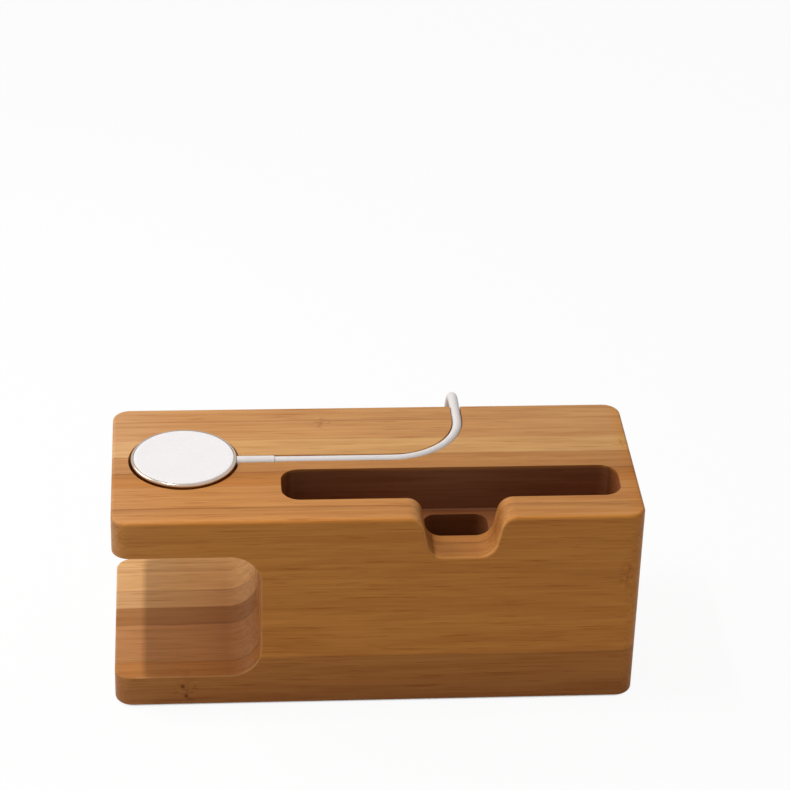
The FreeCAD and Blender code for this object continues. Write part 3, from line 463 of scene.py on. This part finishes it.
def make_bamboo():
    graph = Graph("bamboo_oiled")
    place = graph.millimetres()
    x, y, z = graph.split(place)
    knot, knot_line = find_knots(graph, place)
    grain_place = push_aside(graph, place, knot)

    # Grain: long fibres, broad streaks, short dark dashes and slow changes of tone, along the block
    fibre = graph.drawn_noise(grain_place, *FIBRE)
    streak = graph.drawn_noise(grain_place, *STREAK)
    dash = graph.spread(graph.drawn_noise(grain_place, *DASH), *DASH_RANGE)
    slow = graph.drawn_noise(place, *SLOW)

    # Tone of the grain on the layers
    colour, glue = lay_layers(graph, y, z, place, slow)
    upward = graph.split(graph.add("NewGeometry").outputs["Normal"])[2]
    fibre_share = graph.spread(upward, *UPWARD_RANGE, FIBRE_SHARE, FIBRE_SHARE_ON_TOP)
    colour = graph.tint(graph.product(graph.spread(fibre, *FIBRE_RANGE), fibre_share), colour, FIBRE_TINT)
    colour = graph.tint(graph.spread(streak, *STREAK_RANGE, 0.0, STREAK_SHARE), colour, STREAK_TINT)
    colour = graph.tint(graph.product(dash, DASH_SHARE), colour, DASH_TINT)
    colour = graph.tint(graph.spread(slow, *USUAL_RANGE, 0.0, SLOW_SHARE), colour, SLOW_TINT)
    colour = graph.tint(graph.product(glue, GLUE_SHARE), colour, GLUE_TINT)

    # Specks, lines and eyes of the knots
    speck = graph.product(graph.spread(graph.drawn_noise(place, *SPECK), *SPECK_RANGE), knot)
    speck = graph.math("MAXIMUM", speck, graph.product(knot_line, KNOT_LINE_SHARE))
    colour = graph.tint(graph.product(speck, SPECK_SHARE), colour, SPECK_TINT)
    for where, radius in EYES:
        distance = graph.length(graph.vector_math("SUBTRACT", place, where))
        colour = graph.tint(graph.spread(distance, radius, radius * EYE_CORE), colour, EYE_TINT)

    # Painted light on the left end, oiled end, painted shade on the foot and in the hollows, and edges paler
    # from wear and a painted highlight
    # painted light from the left makes the left end paler
    colour = graph.tint(graph.spread(x, LEFT + LEFT_LIGHT_LENGTH, LEFT), colour, LEFT_PAINTED_LIGHT)
    colour = graph.tint(graph.spread(x, RIGHT - OILED_REACH, RIGHT), colour, OILED_END)
    # painted shade, darker towards the floor
    colour = graph.tint(graph.spread(z, FOOT_HEIGHT, 0.0), colour, FOOT_PAINTED_SHADE)
    colour = paint_shade_in_hollows(graph, colour, x, y, z)
    colour = paint_edge_wear_and_sheen(graph, colour, x, y, z, slow)

    rough = graph.spread(fibre, *ROUGH_RANGE, *BAMBOO_ROUGHNESS)
    rough = graph.math("ADD", rough, graph.product(dash, DASH_ROUGHNESS))
    height = graph.math("SUBTRACT", graph.product(fibre, FIBRE_RELIEF), graph.product(dash, DASH_RELIEF))
    height = graph.math("SUBTRACT", height, graph.product(glue, GLUE_RELIEF))
    soft_edge = graph.add("Bevel", samples=EDGE_SAMPLES)
    graph.feed(soft_edge.inputs["Radius"], EDGE_SOFTNESS * MM)
    graph.set(Base_Color=colour, Specular_IOR_Level=BAMBOO_SPECULAR, Roughness=rough)
    graph.set(Normal=graph.bump(height, GRAIN_DEPTH * MM, GRAIN_STRENGTH, soft_edge.outputs[0]))
    return graph.material


# Plastics and metals

# Plastic: cells to the mm of the clouds in its colour, the range of its skin's noise, how much glossier and
# duller the skin gets, and the strength of its bump
PLASTIC_CLOUD_CELLS = 0.12
SKIN_RANGE = (0.25, 0.75)
SKIN_GLOSSIER = 0.05
SKIN_DULLER = 0.07
SKIN_STRENGTH = 0.4
# Metal: cells to the mm of its marks and clouds, how dark its clouds are, how much duller marks and clouds
# make it, and the strength of its bump
MARK_CELLS = 2.0
METAL_CLOUD_CELLS = 0.25
METAL_CLOUD_SHADE = 0.88
MARK_DULLER = 0.08
CLOUD_DULLER = 0.05
MARK_STRENGTH = 0.3
# How far below the top of the puck's rim an orange-brown tint, a painted reflection of the wood round it, is
# full, ends and fades
REFLECTION_REACH = 0.55
REFLECTION_END = 2.2
REFLECTION_FADE = 0.7
WOOD_REFLECTION_TINT = (0.90, 0.68, 0.48)


def make_plastic(name, colour, roughness, tint=0.05, grain=1.6, depth=0.01, specular=0.5):
    """Moulded plastic: faint clouds in its colour and gloss, and a fine skin."""
    graph = Graph(name)
    place = graph.millimetres()
    cloud = graph.noise(place, scale=PLASTIC_CLOUD_CELLS, detail=3)
    skin = graph.noise(place, scale=grain, detail=3, roughness=0.6)
    shade = tuple(channel * (1 - tint) for channel in colour)
    graph.set(Base_Color=graph.mix(graph.spread(cloud, *USUAL_RANGE), rgb(*colour), rgb(*shade)))
    graph.set(Roughness=graph.spread(skin, *SKIN_RANGE, roughness - SKIN_GLOSSIER, roughness + SKIN_DULLER))
    graph.set(Specular_IOR_Level=specular)
    graph.set(Normal=graph.bump(skin, depth * MM, SKIN_STRENGTH))
    return graph.material


def make_metal(name, colour, roughness, stretch=(1.0, 1.0, 1.0), depth=0.004, reflection_below=None):
    """Metal with fine marks drawn out by the stretch, clouds in its gloss, and a painted reflection of wood,
    an orange-brown tint, below a level.
    """
    graph = Graph(name)
    place = graph.millimetres()
    drawn = graph.vector_math("MULTIPLY", place, stretch)
    marks = graph.noise(drawn, scale=MARK_CELLS, detail=4, roughness=0.65)
    cloud = graph.noise(place, scale=METAL_CLOUD_CELLS, detail=2)
    shade = tuple(channel * METAL_CLOUD_SHADE for channel in colour)
    tone = graph.mix(graph.spread(cloud, *USUAL_RANGE), rgb(*colour), rgb(*shade))
    if reflection_below is not None:
        below = graph.math("SUBTRACT", reflection_below, graph.split(place)[2])
        reflection_share = graph.product(graph.spread(below, 0.0, REFLECTION_REACH),
                             graph.spread(below, REFLECTION_END, REFLECTION_END - REFLECTION_FADE))
        # painted reflection of the wood below the given level
        tone = graph.tint(reflection_share, tone, WOOD_REFLECTION_TINT)
    graph.set(Base_Color=tone, Metallic=1.0)
    marked = graph.spread(marks, *USUAL_RANGE, roughness, roughness + MARK_DULLER)
    graph.set(Roughness=graph.math("ADD", marked, graph.spread(cloud, *USUAL_RANGE, 0.0, CLOUD_DULLER)))
    graph.set(Normal=graph.bump(marks, depth * MM, MARK_STRENGTH))
    return graph.material


MATERIALS = {
    "bamboo": make_bamboo(),
    "foot_rubber": make_plastic("rubber_dark", (0.018, 0.018, 0.019), 0.75,
                                tint=0.3, grain=2.5, depth=0.03, specular=0.3),
    # the steel's brownish colour and the tint below its rim's top are a painted reflection of the wood round
    # the puck
    "polished_steel": make_metal("steel_polished", (0.54, 0.455, 0.385), 0.12,
                                 stretch=(0.4, 0.4, 3), depth=0.002, reflection_below=RIM_TOP),
    "white_face": make_plastic("face_white", (0.880, 0.842, 0.840), 0.24,
                               tint=0.012, grain=0.3, depth=0.0005),
    "white_jacket": make_plastic("jacket_white", (0.820, 0.775, 0.755), 0.46,
                                 tint=0.05, grain=2.0, depth=0.012, specular=0.4),
    "white_moulding": make_plastic("moulding_white", (0.80, 0.79, 0.785), 0.28,
                                   tint=0.03, grain=1.2, depth=0.003),
    "tie_plastic": make_plastic("tie_white", (0.68, 0.68, 0.67), 0.5,
                                tint=0.05, grain=2.5, depth=0.015, specular=0.4),
    "plug_steel": make_metal("steel_plated", (0.66, 0.66, 0.665), 0.26, stretch=(0.3, 2.0, 2.0)),
    "plug_insulator": make_plastic("insulator_white", (0.80, 0.80, 0.77), 0.45),
    "contact_gold": make_metal("contact_plated", (0.83, 0.60, 0.25), 0.22),
    "copper_winding": make_metal("winding_enamelled", (0.62, 0.27, 0.12), 0.35,
                                 stretch=(3.0, 3.0, 0.5), depth=0.02),
    "ferrite": make_plastic("ferrite_dark", (0.014, 0.014, 0.015), 0.65, tint=0.2),
    "nickel_magnet": make_metal("nickel_plated", (0.62, 0.60, 0.57), 0.18),
    "board_laminate": make_plastic("laminate_green", (0.010, 0.085, 0.030), 0.42, tint=0.2),
    "component_black": make_plastic("component_black", (0.012, 0.012, 0.012), 0.5, tint=0.2),
    "film_amber": make_plastic("film_amber", (0.52, 0.20, 0.02), 0.3, tint=0.1),
    "wire_jacket": make_plastic("wire_red", (0.36, 0.02, 0.02), 0.45, tint=0.1),
}

SLOT_OF = {piece["node"]: piece["material_slot"] for piece in frame["record"]["subparts"]}
for name, node in nodes.items():
    node.data.materials.clear()
    node.data.materials.append(MATERIALS[SLOT_OF[name]])


# Cable: one smooth line from the puck's collar through the groove, down to the coil and on to the plug

def coil_state(turn):
    """Radius and rise of the coil's line after some turns: in, up a layer, and out again."""
    outer_radius = COIL_INNER_RADIUS + COIL_TURNS_IN * COIL_PITCH
    if turn <= COIL_TURNS_IN:
        return outer_radius - COIL_PITCH * turn, 0.0
    climbed = turn - COIL_TURNS_IN
    if climbed >= COIL_CLIMB_TURNS:
        return COIL_INNER_RADIUS + COIL_PITCH * (climbed - COIL_CLIMB_TURNS), COIL_PITCH
    share = climbed / COIL_CLIMB_TURNS
    radius = COIL_INNER_RADIUS - COIL_PITCH * COIL_CLIMB_TURNS * (share - share ** 2)
    return radius, COIL_PITCH * (3 * share ** 2 - 2 * share ** 3)


def coil_points():
    """Control points of the coil, a little outside its line, as a spline needs them."""
    turns = COIL_TURNS_IN + COIL_CLIMB_TURNS + COIL_TURNS_OUT
    outside = 1 / math.cos(math.pi / COIL_POINTS_PER_TURN)
    points = []
    for number in range(round(turns * COIL_POINTS_PER_TURN) + 1):
        turn = number / COIL_POINTS_PER_TURN
        radius, rise = coil_state(turn)
        angle = 2 * math.pi * turn
        points.append(COIL_MIDDLE + Vector((math.cos(angle) * radius * outside,
                                            math.sin(angle) * radius * outside, rise)))
    return points


CABLE_EXIT = (-26.1, 2.25, CABLE_Z)
GROOVE_POINTS = ((-0.1, 2.25, CABLE_Z), (10.1, 2.25, CABLE_Z), (18.9, 7.35, CABLE_Z), (24.0, 16.15, CABLE_Z),
                 (24.0, 26.35, CABLE_Z))
DROP_POINTS = ((24.0, 36.5, CABLE_Z), (24.2, 45.2, 47.5), (24.6, 47.4, 36.5), (24.9, 45.6, 25.5),
               (24.6, 45.6, 14.3), (24.0, 49.4, 6.0), (22.9, 57.2, CABLE_LIE))
TAIL_POINTS = ((-11.7, 90.5, 5.15), (-20.5, 88.3, 4.1), (-28.7, 84.91, 4.1))


def make_cable():
    curve = bpy.data.curves.new("charging_cable", "CURVE")
    curve.dimensions = "3D"
    curve.bevel_depth = CABLE_DIAMETER / 2 * MM
    curve.bevel_resolution = CABLE_BEVEL_STEPS
    curve.resolution_u = CABLE_STEPS
    curve.use_fill_caps = True
    points = [CABLE_EXIT, *GROOVE_POINTS, *DROP_POINTS, *coil_points(), *TAIL_POINTS]
    spline = curve.splines.new("NURBS")
    spline.points.add(len(points) - 1)
    for point, where in zip(spline.points, points):
        point.co = (*(Vector(where) * MM), 1.0)
    spline.order_u = CABLE_ORDER
    spline.use_endpoint_u = True
    cable = bpy.data.objects.new("charging_cable", curve)
    bpy.context.scene.collection.objects.link(cable)
    curve.materials.append(MATERIALS["white_jacket"])
    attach(cable, "charger")
    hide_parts("cable_groove_run", "cable_back_drop", "cable_coil", "cable_tail")


make_cable()


# Studio: pale floor, lamps and camera

# Strength of the world's light on the object, and the share of the floor's own glow in what is seen of it
SKY_LIGHT = 0.29
FLOOR_GLOW = 0.94
# The floor: half its side, its grey under the object's light, and the white that takes the shadow
FLOOR_HALF = 4000.0
FLOOR_GREY = (0.75, 0.75, 0.75)
FLOOR_ROUGHNESS = 0.9
PAPER_WHITE = (0.98, 0.98, 0.98)
WHITE = (1.0, 1.0, 1.0)
# The floor's glow fades in hollows: how far off a hollow's walls count, the openness at which the glow is
# lowest and full, and the lowest glow
HOLLOW_REACH = 60.0
HOLLOW_OPENNESS = (0.03, 0.22)
HOLLOW_GLOW = 0.04
HOLLOW_SAMPLES = 16

# Lamps: place, the point each looks at and size in mm, and power in watts
Lamp = namedtuple("Lamp", "name place target size power")
LAMPS = (
    Lamp("key", (-159.0, 0.0, 500.0), (-61.0, 0.0, 9.4), (100.0, 22.0), 1.02),
    Lamp("box", (-330.0, 120.0, 300.0), (0.0, 0.0, 40.0), (220.0, 220.0), 0.67),
)


def sees_background(graph):
    """1 for a ray that shows the background: from the camera, a gloss or a clear piece."""
    path = graph.add("LightPath")
    seen = graph.math("MAXIMUM", path.outputs["Is Camera Ray"], path.outputs["Is Glossy Ray"])
    return graph.math("MAXIMUM", seen, path.outputs["Is Transmission Ray"])


def mix_shaders(graph, factor, first, second):
    node = graph.add("MixShader")
    for socket, value in zip(node.inputs, (factor, first, second)):
        graph.feed(socket, value)
    return node.outputs[0]


def make_floor():
    mesh = bpy.data.meshes.new("floor")
    half = FLOOR_HALF * MM
    corners = [(-half, -half, 0), (half, -half, 0), (half, half, 0), (-half, half, 0)]
    mesh.from_pydata(corners, [], [(0, 1, 2, 3)])
    floor = bpy.data.objects.new("floor", mesh)
    bpy.context.scene.collection.objects.link(floor)
    graph = Graph("floor_pale")
    graph.set(Base_Color=rgb(*FLOOR_GREY), Roughness=FLOOR_ROUGHNESS)
    openness = graph.add("AmbientOcclusion", samples=HOLLOW_SAMPLES)
    graph.feed(openness.inputs["Distance"], HOLLOW_REACH * MM)
    white = graph.add("Emission")
    graph.feed(white.inputs["Color"], rgb(*WHITE))
    graph.feed(white.inputs["Strength"],
               graph.spread(openness.outputs["AO"], *HOLLOW_OPENNESS, HOLLOW_GLOW, 1.0))
    paper = graph.add("BsdfDiffuse")
    graph.feed(paper.inputs["Color"], rgb(*PAPER_WHITE))
    shown = mix_shaders(graph, FLOOR_GLOW, paper.outputs[0], white.outputs[0])
    surface = mix_shaders(graph, sees_background(graph), graph.shader.outputs[0], shown)
    graph.feed(graph.tree.nodes["Material Output"].inputs["Surface"], surface)
    mesh.materials.append(graph.material)


def make_world():
    world = bpy.data.worlds.new("studio")
    bpy.context.scene.world = world
    world.use_nodes = True
    graph = Graph("studio", world.node_tree)
    background = world.node_tree.nodes["Background"]
    strength = graph.spread(sees_background(graph), 0.0, 1.0, SKY_LIGHT, 1.0, smooth=False)
    graph.feed(background.inputs["Color"], rgb(*WHITE))
    graph.feed(background.inputs["Strength"], strength)


def make_lamp(lamp):
    data = bpy.data.lights.new(lamp.name, "AREA")
    data.shape = "RECTANGLE"
    data.size, data.size_y = (side * MM for side in lamp.size)
    data.energy = lamp.power
    light = bpy.data.objects.new(lamp.name, data)
    bpy.context.scene.collection.objects.link(light)
    light.location = Vector(lamp.place) * MM
    light.rotation_mode = "QUATERNION"
    light.rotation_quaternion = (Vector(lamp.target) - Vector(lamp.place)).to_track_quat("-Z", "Y")


def make_camera():
    data = bpy.data.cameras.new("camera")
    data.sensor_width = SENSOR_MM
    data.lens = LENS_MM
    data.clip_start = NEAREST_SEEN * MM
    camera = bpy.data.objects.new("camera", data)
    bpy.context.scene.collection.objects.link(camera)
    forward = Vector((math.sin(YAW) * math.cos(PITCH), math.cos(YAW) * math.cos(PITCH), -math.sin(PITCH)))
    level = Vector((math.cos(YAW), -math.sin(YAW), 0.0))
    down = forward.cross(level)
    right = level * math.cos(ROLL) + down * math.sin(ROLL)
    up = level * math.sin(ROLL) - down * math.cos(ROLL)
    camera.matrix_world = Matrix.Translation(EYE) @ Matrix((right, up, -forward)).transposed().to_4x4()
    bpy.context.scene.camera = camera


make_floor()
make_world()
for lamp in LAMPS:
    make_lamp(lamp)
make_camera()
bpy.context.scene.view_settings.view_transform = "Standard"
